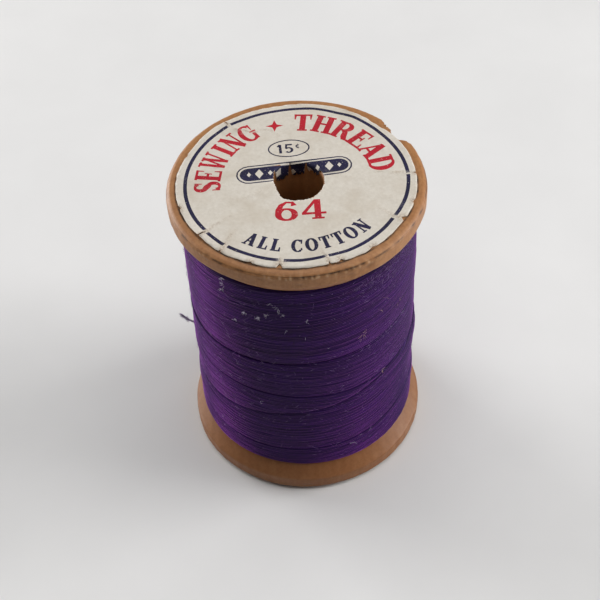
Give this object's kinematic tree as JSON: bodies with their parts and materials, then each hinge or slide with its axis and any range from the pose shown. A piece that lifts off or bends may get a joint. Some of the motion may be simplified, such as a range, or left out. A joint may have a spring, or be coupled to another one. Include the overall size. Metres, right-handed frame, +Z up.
{
  "type": "spool of thread",
  "caption": "Wooden spool wound with purple sewing thread, with flared flanges, printed paper end labels, a through bore and a loose thread end.",
  "frame": {"origin": "centre of the underside of the bottom label, the face the spool stands on", "axes": "+Z up along the spool's axis, towards the label seen from above; +Y points to the back, away from the side the picture shows"},
  "size_m": [0.0313, 0.0302, 0.0406],
  "materials": {
    "wood": "turned birch, thin worn varnish, dirt in the scratches",
    "label_paper": "matt printed paper, creased and torn",
    "thread": "mercerised cotton, soft sheen along the strands"
  },
  "bodies": {
    "root": {"spool_body": "wood", "top_label": "label_paper", "bottom_label": "label_paper", "thread_start": "thread", "thread_inner_layers": "thread", "thread_outer_layer": "thread", "thread_cross_wraps": "thread", "thread_tail": "thread"}
  },
  "joints": []
}
